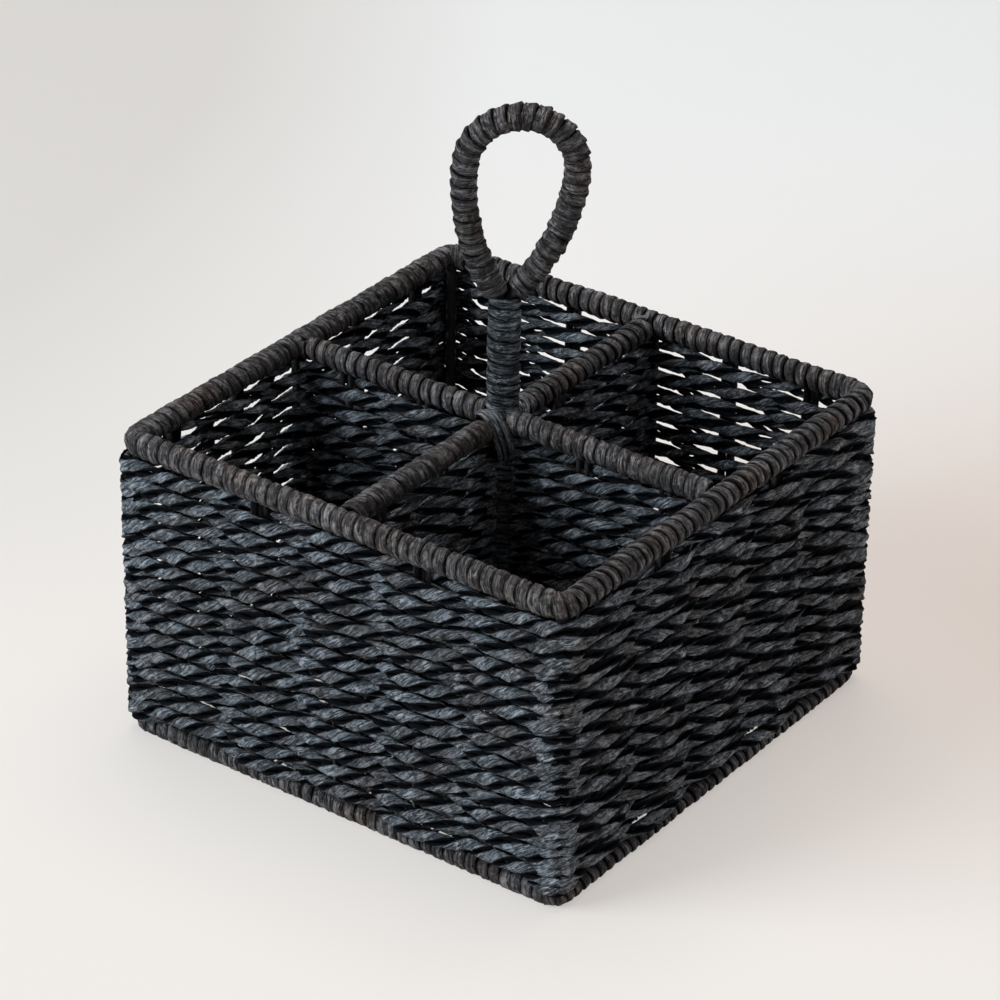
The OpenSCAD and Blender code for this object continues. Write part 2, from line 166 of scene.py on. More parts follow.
class Nodes:
    """Makes nodes in one tree."""

    def __init__(self, tree):
        self.tree = tree

    def make(self, kind, settings=None, sockets=None, out=0):
        """Adds a node: its settings first, then the values or links of its sockets."""
        node = self.tree.nodes.new(kind)
        for name, value in (settings or {}).items():
            setattr(node, name, value)
        for key, value in (sockets or {}).items():
            socket = node.inputs[key]
            if isinstance(value, Field):
                self.tree.links.new(value.socket, socket)
            elif socket.type == "VECTOR" and isinstance(value, (int, float)):
                socket.default_value = (value, value, value)
            else:
                socket.default_value = value
        return Field(self, node.outputs[out])

    def math(self, operation, *values):
        return self.make("ShaderNodeMath", {"operation": operation}, dict(enumerate(values)))

    def vectors(self, operation, sockets, out="Vector"):
        return self.make("ShaderNodeVectorMath", {"operation": operation}, sockets, out)

    def share(self, value):
        """The value, kept from 0 to 1."""
        return self.make("ShaderNodeClamp", None, {0: value, 1: 0.0, 2: 1.0})

    def sin(self, angle):
        return self.math("SINE", angle)

    def cos(self, angle):
        return self.math("COSINE", angle)

    def vector(self, x, y, z):
        return self.make("ShaderNodeCombineXYZ", None, {0: x, 1: y, 2: z})

    def scaled(self, vector, factor):
        return self.vectors("SCALE", {0: vector, "Scale": factor})

    def dot(self, a, b):
        return self.vectors("DOT_PRODUCT", {0: a, 1: b}, out="Value")

    def cross(self, a, b):
        return self.vectors("CROSS_PRODUCT", {0: a, 1: b})

    def unit(self, vector):
        return self.vectors("NORMALIZE", {0: vector})

    def stored(self, geometry, name, kind, value):
        """The geometry, with a value kept on its places."""
        return self.make(
            "GeometryNodeStoreNamedAttribute", {"data_type": kind, "domain": "POINT"},
            {"Geometry": geometry, "Name": name, "Value": value},
        )

    def named(self, name, kind):
        return self.make("GeometryNodeInputNamedAttribute", {"data_type": kind}, {"Name": name})

    def moved(self, geometry, offset):
        return self.make("GeometryNodeSetPosition", None, {"Geometry": geometry, "Offset": offset})

    def copies(self, geometry, amount):
        """Copies of the lines, and each one's number."""
        found = self.make(
            "GeometryNodeDuplicateElements", {"domain": "SPLINE"},
            {"Geometry": geometry, "Amount": amount},
        )
        return found, Field(self, found.socket.node.outputs["Duplicate Index"])

    def noise(self, vector, w, scale, detail=1.0, roughness=0.5):
        """Noise from -1 to 1 round 0."""
        found = self.make(
            "ShaderNodeTexNoise", {"noise_dimensions": "4D"},
            {"Vector": vector, "W": w, "Scale": scale, "Detail": detail, "Roughness": roughness},
        )
        return found * 2 - 1


# ---- The strand tree -------------------------------------------------------------------

# The strand tree's inputs and their defaults, in metres. A default's type gives the socket's.
STRAND_INPUTS = {
    "Spacing": 0.0018, "Rows": 1, "Row Drop": 0.0, "Strands": 1, "Pitch": 0.032,
    "Reach Across": 0.0009, "Reach Up": 0.0009, "Half Thickness": 0.001, "Half Width": 0.0015,
    "Sides": 12, "Wander": 0.0003, "Loose Twist": 0.6, "Lumps": 0.1, "Creases": 0.08,
    "Slide": 0.0, "Bulge": 0.0, "Squareness": 0.0, "Lap": 0.0, "Lowest": -10.0,
    "Fibre Turn": 150.0, "Seed": 0.0, "Up": (0.0, 0.0, 1.0), "Material": None,
}
SOCKET_KINDS = {
    float: "NodeSocketFloat", int: "NodeSocketInt", tuple: "NodeSocketVector",
    type(None): "NodeSocketMaterial",
}


def strand_lines(n, given):
    """The strands' middle lines. What the skin needs later is kept on their places."""
    up = given["Up"]
    line = n.make("GeometryNodeMeshToCurve", None, {"Mesh": given["Geometry"]})
    line, row = n.copies(line, given["Rows"])
    line = n.stored(line, "row", "FLOAT", row * ROW_SEED + n.named("line", "FLOAT") + given["Seed"])
    line = n.moved(line, n.scaled(up, row * given["Row Drop"] * -1))
    line = n.make(
        "GeometryNodeResampleCurve", {"mode": "LENGTH"},
        {"Curve": line, "Length": given["Spacing"]},
    )
    place = n.make("GeometryNodeInputPosition")
    seed = n.named("row", "FLOAT")
    drift = n.noise(place, seed, DRIFT)
    line = n.moved(line, n.scaled(up, drift * given["Wander"]))
    line, strand = n.copies(line, given["Strands"])
    line = n.stored(line, "strand_seed", "FLOAT", strand * STRAND_SEED + seed)
    turn_share = strand / given["Strands"]
    along = n.named("along", "FLOAT")
    loose = n.noise(place, seed + LOOSE_SEED, LOOSE)
    turned = along / given["Pitch"] + turn_share + loose * given["Loose Twist"] / TAU
    angle = turned * TAU + seed * SEED_ANGLE
    ahead = n.make("GeometryNodeInputTangent")
    across = n.unit(n.cross(ahead, up))
    rising = n.cross(across, ahead)
    radial = n.scaled(across, n.cos(angle)) + n.scaled(rising, n.sin(angle))
    # Each strand sits higher or lower and slides along a little
    own = strand * STRAND_SEED + seed
    ride = 1 + n.noise(place, own + RIDE_SEED, RIDE) * given["Bulge"]
    slide = n.scaled(ahead, n.noise(place, own + SLIDE_SEED, SLIDE) * given["Slide"])
    reach = n.scaled(across, n.cos(angle) * given["Reach Across"] * ride) + n.scaled(
        rising, n.sin(angle) * given["Reach Up"] * ride
    ) + slide
    line = n.stored(line, "middle", "FLOAT_VECTOR", place)
    line = n.stored(line, "radial", "FLOAT_VECTOR", radial)
    line = n.stored(line, "rising", "FLOAT_VECTOR", rising)
    # The offset is worked out and kept before the line moves, because it reads the line's own place
    line = n.stored(line, "reach", "FLOAT_VECTOR", reach)
    line = n.moved(line, n.named("reach", "FLOAT_VECTOR"))
    line = n.stored(line, "core", "FLOAT_VECTOR", place)
    away = n.named("radial", "FLOAT_VECTOR")
    square = n.unit(away - n.scaled(ahead, n.dot(away, ahead)))
    line = n.make("GeometryNodeSetCurveNormal", {"mode": "FREE"}, {"Curve": line, "Normal": square})
    run = n.make("GeometryNodeSplineParameter", out="Length")
    return n.stored(line, "run", "FLOAT", run)


def strand_ring(n, given):
    """The cut through a strand, from which its skin is drawn."""
    ring = n.make(
        "GeometryNodeCurvePrimitiveCircle", {"mode": "RADIUS"},
        {"Resolution": given["Sides"], "Radius": 1.0},
    )
    turn = n.make("GeometryNodeInputIndex") / given["Sides"] * TAU + math.pi
    ring = n.stored(ring, "turn", "FLOAT", turn)
    # crown is 1 on the cut's outer side. The cord's material paints shade where it is low, on the
    # sides that face the next strand.
    ring = n.stored(ring, "crown", "FLOAT", n.cos(turn))
    outer, beside = n.cos(turn), n.sin(turn)
    # Its inner half is flatter, as it is pressed on the core
    flatter = 1 - 0.22 * n.math("LESS_THAN", outer, 0.0)
    # A flattened cord has fuller shoulders than an oval. Times 16, what they add is 1 at most.
    fuller = (outer * outer * beside * beside) ** 2 * 16 * given["Squareness"] + 1
    place = n.vector(
        outer * flatter * fuller * given["Half Thickness"] + beside * given["Lap"],
        beside * fuller * given["Half Width"], 0.0,
    )
    return n.make("GeometryNodeSetPosition", None, {"Geometry": ring, "Position": place})


def strand_skin(n, given):
    """The strands' skin, creased and swollen."""
    place = n.make("GeometryNodeInputPosition")
    lump = n.noise(place, n.named("strand_seed", "FLOAT") + LUMP_SEED, LUMP)
    skin = n.make(
        "GeometryNodeCurveToMesh", None,
        {
            "Curve": strand_lines(n, given),
            "Profile Curve": strand_ring(n, given),
            "Scale": 1 + lump * given["Lumps"],
            "Fill Caps": True,
        },
    )
    # Fibres run along a strand and turn slowly round it, so a place on it is its run and an angle
    fibre = n.named("turn", "FLOAT") + n.named("run", "FLOAT") * given["Fibre Turn"]
    own = n.named("strand_seed", "FLOAT")
    ahead = n.named("run", "FLOAT") * CREASE_ALONG + own * CREASE_SEED
    wrapped = n.vector(ahead, n.cos(fibre), n.sin(fibre))
    crease = 0.35 - n.math("ABSOLUTE", n.noise(wrapped, own, CREASE_ROUND, detail=1.5)) * 2
    core = n.named("core", "FLOAT_VECTOR")
    bulged = core + n.scaled(place - core, 1 + crease * given["Creases"])
    middle = n.named("middle", "FLOAT_VECTOR")
    lift = n.named("rising", "FLOAT_VECTOR")
    height = n.dot(bulged - middle, lift)
    swollen = bulged + n.scaled(lift, height * (n.named("swell", "FLOAT") - 1))
    swollen = n.vectors("MAXIMUM", {0: swollen, 1: n.vector(-10.0, -10.0, given["Lowest"])})
    skin = n.make("GeometryNodeSetPosition", None, {"Geometry": skin, "Position": swollen})
    skin = n.stored(skin, "strand", "FLOAT_VECTOR", wrapped)
    for helper in ("radial", "rising", "reach", "core", "middle", "turn", "run", "row",
                   "strand_seed", "along", "swell", "line"):
        skin = n.make("GeometryNodeRemoveAttribute", None, {"Geometry": skin, "Name": helper})
    # Only the end caps have more than four corners. They stay flat, so that two strands that meet
    # end to end show no seam
    corners = n.make("GeometryNodeInputMeshFaceNeighbors", out="Vertex Count")
    skin = n.make(
        "GeometryNodeSetShadeSmooth", None,
        {"Geometry": skin, "Shade Smooth": n.math("LESS_THAN", corners, 4.5)},
    )
    skin = n.make("GeometryNodeRealizeInstances", None, {"Geometry": skin})
    return n.make(
        "GeometryNodeSetMaterial", None, {"Geometry": skin, "Material": given["Material"]}
    )


def strand_tree():
    """Strands that run round a guide line as a helix: two for a twisted cord, one for a winding."""
    tree = bpy.data.node_groups.new("strands_round_a_line", "GeometryNodeTree")
    tree.is_modifier = True
    face = tree.interface
    face.new_socket("Geometry", in_out="INPUT", socket_type="NodeSocketGeometry")
    face.new_socket("Geometry", in_out="OUTPUT", socket_type="NodeSocketGeometry")
    for name, default in STRAND_INPUTS.items():
        socket = face.new_socket(name, in_out="INPUT", socket_type=SOCKET_KINDS[type(default)])
        if default is not None:
            socket.default_value = default
    n = Nodes(tree)
    source = tree.nodes.new("NodeGroupInput")
    given = {s.name: Field(n, s) for s in source.outputs if s.name}
    skin = strand_skin(n, given)
    end = tree.nodes.new("NodeGroupOutput")
    tree.links.new(skin.socket, end.inputs[0])
    return tree


def strand_piece(name, lines, material, replaced, slot, **sizes):
    """One piece of strands round guide lines. A line is [(place, along, swell), ...], in metres."""
    points, edges, values = [], [], {"along": [], "swell": [], "line": []}
    for number, line in enumerate(lines):
        first = len(points)
        for place, along, swell in line:
            points.append(place)
            values["along"].append(along)
            values["swell"].append(swell)
            values["line"].append(float(number))
        edges += [(i, i + 1) for i in range(first, len(points) - 1)]
    guide = bpy.data.meshes.new(name + "_guide")
    guide.from_pydata(points, edges, [])
    for key, numbers in values.items():
        guide.attributes.new(key, "FLOAT", "POINT").data.foreach_set("value", numbers)
    source = bpy.data.objects.new(name + "_source", guide)
    bpy.context.scene.collection.objects.link(source)
    tree = bpy.data.node_groups.get("strands_round_a_line") or strand_tree()
    modifier = source.modifiers.new("strands", "NODES")
    modifier.node_group = tree
    identifiers = {
        item.name: item.identifier
        for item in tree.interface.items_tree
        if item.in_out == "INPUT"
    }
    for key, value in sizes.items():
        modifier[identifiers[key.replace("_", " ").title()]] = value
    modifier[identifiers["Material"]] = material
    source.update_tag()
    graph = bpy.context.evaluated_depsgraph_get()
    mesh = bpy.data.meshes.new_from_object(source.evaluated_get(graph), depsgraph=graph)
    source.modifiers.remove(modifier)
    bpy.data.objects.remove(source)
    bpy.data.meshes.remove(guide)
    mesh.name = name
    if not mesh.polygons:
        raise RuntimeError(f"{name} came out empty")
    piece = bpy.data.objects.new(name, mesh)
    bpy.context.scene.collection.objects.link(piece)
    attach(piece, "root")
    if replaced:
        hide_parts(*replaced)
    return piece


# ---- Materials -------------------------------------------------------------------------


def blank_material(name):
    material = bpy.data.materials.new(name)
    material.use_nodes = True
    material.node_tree.nodes.clear()
    return material, Nodes(material.node_tree)


def finish_material(n, shader):
    out = n.tree.nodes.new("ShaderNodeOutputMaterial")
    n.tree.links.new(shader.socket, out.inputs["Surface"])


def mixed(n, factor, a, b):
    """A mix of two colours, which are the node's seventh and eighth sockets."""
    return n.make("ShaderNodeMix", {"data_type": "RGBA"}, {"Factor": factor, 6: a, 7: b}, out=2)


def paper_cord(name, hollow, highlight_colour, warm, depth, side_shade, crease_shade):
    """Dyed paper cord: painted shade makes near-black creases along the strand, without gloss,
    between glossy ridges with painted highlights.

    depth is the bump's, side_shade is how much of a strand's sides gets painted shade, as if deep in
    the hollows, and crease_shade is how deep the painted shade in its creases is.
    """
    material, n = blank_material(name)
    strand = n.make("ShaderNodeAttribute", {"attribute_name": "strand"}, out="Vector")
    spots = n.make("ShaderNodeTexCoord", out="Object")

    def cloud(place, scale, detail, distortion):
        return n.make(
            "ShaderNodeTexNoise", {"noise_dimensions": "3D"},
            {"Vector": place, "Scale": scale, "Detail": detail, "Roughness": 0.6,
             "Distortion": distortion},
        )

    crown = n.make("ShaderNodeAttribute", {"attribute_name": "crown"}, out="Fac")
    folds = cloud(strand * (0.6, 1.0, 1.0), 1.5, 2.0, 0.5)
    fibres = cloud(strand * (0.8, 1.0, 1.0), 2.7, 3.0, 0.6)
    crumple = cloud(spots, 360.0, 3.0, 0.9)
    # Shares from 0 to 1: out of the painted shade in the creases, in patches of brighter painted
    # glints, gone brown, and painted glint streaks along the fibres
    crease = n.share(n.math("ABSOLUTE", folds - 0.5) * 16 + 1 - crease_shade)
    glinting = n.share(cloud(spots, 150.0, 2.0, 0.0) * 5 - 2.1)
    brown = n.share(cloud(spots, 40.0, 2.0, 0.0) * 4 - 1.8)
    # Painted glints: bright streaks along the fibres and the crumples, brighter in the glinting
    # patches
    glint_streak = n.share(fibres * 4.5 + crumple * 3 - 3.35)
    # Painted shade on the sides of a strand, which lie deep in the hollow between it and the next
    unshaded_side = n.share(crown * 2.2 - side_shade)
    # The lit shader's share: painted shade in the creases and on a strand's sides, painted
    # highlights on the rest, strongest on the glint streaks
    light = crease * unshaded_side * (0.17 + glint_streak * (0.36 + glinting * 0.5))
    height = crease * 0.3 + folds * 0.4 + fibres * 0.35 + crumple * 0.7
    bump = n.make("ShaderNodeBump", None, {"Strength": 1.0, "Distance": depth, "Height": height})
    # The lit shader's colour is the painted highlight colour, brown in patches
    colour = mixed(n, brown * 0.7, (*highlight_colour, 1), (*warm, 1))
    painted_lit_shader = n.make(
        "ShaderNodeBsdfPrincipled", None,
        {"Base Color": colour, "Roughness": 0.25 + (1 - glint_streak) * 0.32, "Normal": bump},
    )
    # The painted shade: near-black and almost without gloss
    painted_shade_shader = n.make(
        "ShaderNodeBsdfPrincipled", None,
        {"Base Color": (*hollow, 1), "Roughness": 0.8, "Specular IOR Level": 0.05, "Normal": bump},
    )
    finish_material(n, n.make("ShaderNodeMixShader", None, {0: light, 1: painted_shade_shader, 2: painted_lit_shader}))
    return material


def satin_wire():
    material, n = blank_material("black_wire")
    spots = n.make("ShaderNodeTexCoord", out="Object")
    grain = n.make("ShaderNodeTexNoise", None, {"Vector": spots, "Scale": 900.0, "Detail": 3.0})
    wear = n.make("ShaderNodeTexNoise", None, {"Vector": spots, "Scale": 140.0, "Detail": 4.0})
    colour = mixed(n, wear, (0.008, 0.008, 0.009, 1), (0.02, 0.02, 0.022, 1))
    bump = n.make("ShaderNodeBump", None, {"Strength": 0.4, "Distance": 0.00005, "Height": grain})
    shader = n.make(
        "ShaderNodeBsdfPrincipled", None,
        {"Base Color": colour, "Roughness": 0.42 + wear * 0.2, "Normal": bump},
    )
    finish_material(n, shader)
    return material


def surface(name):
    """The material of this name, made when it is first asked for."""
    found = bpy.data.materials.get(name)
    if found:
        return found
    tints = bpy.context.scene.caddy_colours
    if name == "black_wire":
        return satin_wire()
    if name == "charcoal_weave":
        return paper_cord(name, tints.cord, tints.cord_highlight, tints.warm,
                          depth=1.8 * MM, side_shade=0.15, crease_shade=0.8)
    if name == "charcoal_post":
        # The post's copy has dimmer painted highlights and more painted shade on each wrap's sides
        post_highlight = tuple(0.72 * c for c in tints.cord_highlight)
        return paper_cord(name, tints.cord, post_highlight, tints.warm,
                          depth=2.2 * MM, side_shade=0.8, crease_shade=0.85)
    # The bindings' cord has painted shade on most of each wrap's sides, which deepens the grooves
    # between wraps
    return paper_cord(name, tints.binding, tints.binding_highlight, tints.warm,
                      depth=1.8 * MM, side_shade=1.02, crease_shade=0.65)


# ---- Guide lines -----------------------------------------------------------------------


def with_length(points, start=0.0, swell=None):
    """Adds the length so far, and how far the cord spreads upwards, to each place."""
    line, length = [], start
    for i, point in enumerate(points):
        if i:
            length += (Vector(point) - Vector(points[i - 1])).length
        line.append((tuple(point), length, swell[i] if swell else 1.0))
    return line


def about_middle(x, y, angle):
    """The place (x, y), turned about the caddy's middle."""
    return (x * math.cos(angle) - y * math.sin(angle), x * math.sin(angle) + y * math.cos(angle))


def swing(a, b, p, q):
    """From x = a to x = b, and from depth p to depth q, as a cord swings between two stakes."""
    count = max(2, round((b - a) / ROW_STEP))
    return [
        (a + (b - a) * i / count, p + (q - p) * (1 - math.cos(math.pi * i / count)) / 2)
        for i in range(count + 1)
    ]


def smooth(points, steps):
    """A smooth line through the points."""
    line = []
    ends = [points[0], *points, points[-1]]
    for a, b, c, d in zip(ends, ends[1:], ends[2:], ends[3:]):
        for i in range(steps):
            t = i / steps
            line.append(tuple(
                q + 0.5 * t * (r - p + t * (2 * p - 5 * q + 4 * r - s + t * (3 * (q - r) + s - p)))
                for p, q, r, s in zip(a, b, c, d)
            ))
    return [*line, points[-1]]


def joined(*parts):
    """Parts of a line end to end, without the place that two of them share."""
    line = []
    for part in parts:
        for point in part:
            if not line or (Vector(point) - Vector(line[-1])).length > 1e-6:
                line.append(point)
    return line


def wall_row(sizes, side):
    """Half the plan of one wall row, from the middle stake to the mitre at the corner."""
    corner = WALL_HALF_X - sizes.post_in
    flat, pitch = sizes.crest_flat, sizes.stake_pitch
    parts = [[(0.0, side * sizes.wave)]]
    for k in (0, 1):
        now = side if k % 2 == 0 else -side
        parts.append(swing(k * pitch + flat, (k + 1) * pitch - flat,
                           now * sizes.wave, -now * sizes.wave))
    if side > 0:
        parts.append([(2 * pitch + flat + i * (corner - 2 * pitch - flat) / 16, sizes.wave)
                      for i in range(17)])
    else:
        parts.append(swing(2 * pitch + flat, corner, -sizes.wave, sizes.wave))
    bend = sizes.corner_bend
    parts.append([(corner + bend * math.sin(a), sizes.wave - bend + bend * math.cos(a))
                  for a in [math.radians(5 * i) for i in range(10)]])
    # A little past the mitre, so that no gap shows between two walls
    last = parts[-1][-1]
    parts.append([(last[0] + 0.3 * MM, last[1] - 0.3 * MM)])
    return joined(*parts)


def panel_row(sizes, start, end, depth):
    """A row of a divider or of the base, from x = start to x = end, past two pairs of wires."""
    flat, pitch = sizes.crest_flat, sizes.stake_pitch
    return joined(
        swing(start, pitch - flat, 0.0, depth),
        swing(pitch + flat, 2 * pitch - flat, depth, -depth),
        swing(2 * pitch + flat, end, -depth, 0.0),
    )


def spread(sizes, depth):
    """How far a cord spreads upwards where it is pressed on a stake, and how little between."""
    return 1 + sizes.spread * min(1.0, abs(depth) / sizes.wave) ** 1.5


def on_wall(k, x, y, z):
    """A place in wall k's frame: x along it, y outwards from the frame's middle."""
    reach = HALF_Y if k % 2 == 0 else HALF_X
    return (*about_middle(x, y + reach, math.pi + math.pi / 2 * k), z)


def wall_lines(sizes, k):
    """Guide lines of wall k's two kinds of row: the topmost one and the next."""
    lines = []
    for number, side in enumerate((1, -1)):
        right = wall_row(sizes, side)
        plan = joined([(-x, y) for x, y in reversed(right)], right)
        z = TOP_ROW_Z - sizes.cord / 2 - number * sizes.row_pitch
        swell = [spread(sizes, y) for x, y in plan]
        lines.append(with_length([on_wall(k, x, y, z) for x, y in plan], swell=swell))
    return lines


# ---- Settings --------------------------------------------------------------------------


def distance(name, description, default):
    return bpy.props.FloatProperty(
        name=name, description=description, default=default, subtype="DISTANCE",
        unit="LENGTH", precision=5,
    )


def tint(name, description, default):
    return bpy.props.FloatVectorProperty(
        name=name, description=description, default=default, subtype="COLOR", size=3,
        min=0.0, max=1.0,
    )


class CaddyWeave(bpy.types.PropertyGroup):
    """Sizes of the woven cord"""

    cord: distance("Cord", "Diameter of the woven cord", 3.6 * MM)
    row_pitch: distance("Row pitch", "Height from one row to the next", 3.89 * MM)
    stake_pitch: distance("Stake pitch", "Distance between neighbouring stakes", 36 * MM)
    wave: distance("Wave", "Depth from a stake's middle to the cord's middle", 3.1 * MM)
    crest_flat: distance("Crest", "Half the width over which a cord lies on a stake", 3.05 * MM)
    post_in: distance("Post in", "Corner post's distance from the wall's outside", 6.42 * MM)
    corner_bend: distance("Corner bend", "Bend radius of a cord round a corner post", 4.62 * MM)
    twist: distance("Twist", "Length of one full turn of the two plies", 27 * MM)
    spread: bpy.props.FloatProperty(
        name="Spread", description="Share by which a cord is taller where it lies on a stake",
        default=0.38, min=0.0, max=1.0, subtype="FACTOR",
    )
    rows: bpy.props.IntProperty(
        name="Rows", description="Rows in each wall", default=28, min=2, max=60,
    )


class CaddyBinding(bpy.types.PropertyGroup):
    """Sizes of the bindings and windings"""

    rim_reach: distance("Rim reach", "Rim cord's middle from the rod's middle", 2.95 * MM)
    rim_pitch: distance("Rim wrap", "Width of one wrap of the rim", 4.9 * MM)
    base_reach: distance("Base reach", "Base cord's middle from the rod's middle", 2.35 * MM)
    loop_reach: distance("Loop reach", "Loop cord's middle from the rod's middle", 3.0 * MM)
    loop_pitch: distance("Loop turn", "Rise of one turn on the loop", 4.5 * MM)
    post_pitch: distance("Post turn", "Rise of one turn on the post", 4.4 * MM)


class CaddyColours(bpy.types.PropertyGroup):
    """Colours of the cord and of the stage"""

    # The cord's and binding's colours are the painted shade in their creases and hollows; the
    # highlight colours are painted highlights on their ridges
    cord: tint("Cord", "Colour of the woven cord's hollows", (0.003, 0.004, 0.006))
    cord_highlight: tint("Cord ridges", "Colour of its worn ridges", (0.30, 0.34, 0.385))
    binding: tint("Binding", "Colour of the binding's hollows", (0.004, 0.004, 0.005))
    binding_highlight: tint("Binding ridges", "Colour of its worn ridges", (0.165, 0.156, 0.162))
    warm: tint("Warm patches", "Colour of the brownish patches", (0.15, 0.105, 0.082))
    floor: tint("Floor", "Colour of the floor and backdrop", (0.785, 0.75, 0.72))
    # The colour of the painted shadow to the right of the caddy
    floor_painted_shadow: tint("Floor, right", "Its colour to the right of the caddy", (0.70, 0.61, 0.555))
    floor_back: tint("Floor, back", "Its colour towards the back", (0.75, 0.758, 0.758))
    floor_dim: tint("Floor, dim", "Its colour at the back on the left", (0.62, 0.60, 0.58))


# ---- Operators -------------------------------------------------------------------------


class CADDY_OT_stage(bpy.types.Operator):
    """Camera, floor and lamps"""

    bl_idname = "caddy.stage"
    bl_label = "Stage"

    def execute(self, context):
        scene = context.scene
        scene.view_settings.view_transform = "Standard"
        azimuth, elevation, roll = (math.radians(a) for a in (AZIMUTH, ELEVATION, ROLL))
        back = Vector((math.sin(azimuth) * math.cos(elevation),
                       -math.cos(azimuth) * math.cos(elevation), math.sin(elevation)))
        flat = Vector((math.cos(azimuth), math.sin(azimuth), 0))
        high = back.cross(flat)
        right = math.cos(roll) * flat + math.sin(roll) * high
        up = math.cos(roll) * high - math.sin(roll) * flat
        data = bpy.data.cameras.new("view")
        data.sensor_width = SENSOR
        data.lens = LENS
        data.clip_end = 30
        camera = bpy.data.objects.new("view", data)
        scene.collection.objects.link(camera)
        camera.location = sum(
            (way * far for way, far in zip((right, up, back), CAMERA_PLACE)), Vector()
        )
        camera.rotation_mode = "QUATERNION"
        turn = [(right[i], up[i], back[i]) for i in range(3)]
        camera.rotation_quaternion = Matrix(turn).to_quaternion()
        scene.camera = camera

        floor_material, n = blank_material("pale_floor")
        tints = scene.caddy_colours
        spots = n.make("ShaderNodeTexCoord", out="Object")
        # The floor carries a painted shadow, warmer and deeper, to the right of the caddy, and the
        # paper greys towards the back
        across = n.dot(spots, (flat.x, flat.y, 0.0))
        beyond = n.dot(spots, (-back.x, -back.y, 0.0)) / math.cos(elevation)
        near = n.math("MAXIMUM", 1 - n.math("ABSOLUTE", beyond - 0.15) * 3, 0.0)
        # warm is the mask of the painted shadow to the right of the caddy, near its depth
        warm = n.share(across * 5.5 * near)
        grey = n.share(beyond * 2 - 0.1)
        dim = n.share(across * -5 * (grey + 0.35))
        colour = mixed(n, warm, (*tints.floor, 1), (*tints.floor_painted_shadow, 1))
        colour = mixed(n, grey, colour, (*tints.floor_back, 1))
        colour = mixed(n, dim, colour, (*tints.floor_dim, 1))
        paper = n.make("ShaderNodeBsdfPrincipled", None, {"Base Color": colour, "Roughness": 0.85})
        glow = n.make("ShaderNodeEmission", None, {"Color": colour, "Strength": 1.0})
        seen = [n.make("ShaderNodeLightPath", out=f"Is {ray} Ray")
                for ray in ("Camera", "Glossy", "Transmission")]
        own = (seen[0] + seen[1] + seen[2]) * FLOOR_GLOW
        finish_material(n, n.make("ShaderNodeMixShader", None, {0: own, 1: paper, 2: glow}))
        mesh = bpy.data.meshes.new("floor")
        low = CAD_BOX[0].z
        # The floor runs back and curves up into the backdrop
        profile = [(-FLOOR_NEAR, 0.0), (FLOOR_FAR, 0.0)]
        profile += [(FLOOR_FAR + FLOOR_BEND * math.sin(a), FLOOR_BEND - FLOOR_BEND * math.cos(a))
                    for a in [math.radians(9 * i) for i in range(1, 11)]]
        profile += [(FLOOR_FAR + FLOOR_BEND, BACKDROP_TOP)]
        ahead = -Vector((back.x, back.y, 0)).normalized()
        points = []
        for reach, height in profile:
            for aside in (-FLOOR_HALF, FLOOR_HALF):
                place = ahead * reach + flat * aside
                points.append((place.x, place.y, low + height))
        faces = [(2 * i, 2 * i + 1, 2 * i + 3, 2 * i + 2) for i in range(len(profile) - 1)]
        mesh.from_pydata(points, [], faces)
        mesh.polygons.foreach_set("use_smooth", [True] * len(faces))
        mesh.materials.append(floor_material)
        floor = bpy.data.objects.new("floor", mesh)
        scene.collection.objects.link(floor)

        for name, (aside, away, height), (wide, tall), power, tone in LAMPS:
            light = bpy.data.lights.new(name, "AREA")
            light.shape = "RECTANGLE"
            light.size = wide
            light.size_y = tall
            light.energy = power
            light.color = tone
            item = bpy.data.objects.new(name, light)
            scene.collection.objects.link(item)
            place = flat * aside + ahead * away + Vector((0, 0, height))
            item.location = place
            item.rotation_mode = "QUATERNION"
            item.rotation_quaternion = (place - LAMP_AIM).to_track_quat("Z", "Y")

        world = bpy.data.worlds.new("studio")
        world.use_nodes = True
        background = world.node_tree.nodes["Background"]
        background.inputs["Color"].default_value = WORLD_COLOUR
        background.inputs["Strength"].default_value = WORLD_STRENGTH
        scene.world = world
        return {"FINISHED"}


class CADDY_OT_wires(bpy.types.Operator):
    """Finish of the wire frame, which keeps its CAD shapes"""

    bl_idname = "caddy.wires"
    bl_label = "Wire frame"

    def execute(self, context):
        soft = ("weave", "binding", "winding", "lashing")
        for name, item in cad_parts.items():
            if not any(word in name for word in soft):
                item.data.materials.clear()
                item.data.materials.append(surface("black_wire"))
        return {"FINISHED"}


class CADDY_OT_walls(bpy.types.Operator):
    """The four woven walls, one piece each"""

    bl_idname = "caddy.walls"
    bl_label = "Woven walls"

    def execute(self, context):
        sizes = context.scene.caddy_weave
        for k in range(4):
            lines = wall_lines(sizes, k)
            # Whole turns on each wall, so that the plies meet at every corner. The right wall is
            # twisted the other way from the front one, and less tightly, and the left one too.
            turns = round(lines[0][-1][1] / sizes.twist) - FEWER_TURNS[k]
            turns *= -1 if k % 2 else 1
            lines = [[(p, turns * a / line[-1][1], s) for p, a, s in line] for line in lines]
            strand_piece(
                WALL_NAMES[k] + "_wall_cords", lines, surface("charcoal_weave"),
                [WALL_NAMES[k] + "_weave"], "woven_cord",
                rows=sizes.rows // 2, row_drop=2 * sizes.row_pitch, strands=2, pitch=1.0,
                reach_across=0.95 * MM, reach_up=1.15 * MM, half_thickness=0.98 * MM,
                # The two walls away from the camera are woven more openly
                half_width=(1.8 if k < 2 else 1.58) * MM, wander=1.15 * MM, loose_twist=3.2,
                lumps=0.38, creases=0.54, seed=3.0,
            )
        return {"FINISHED"}


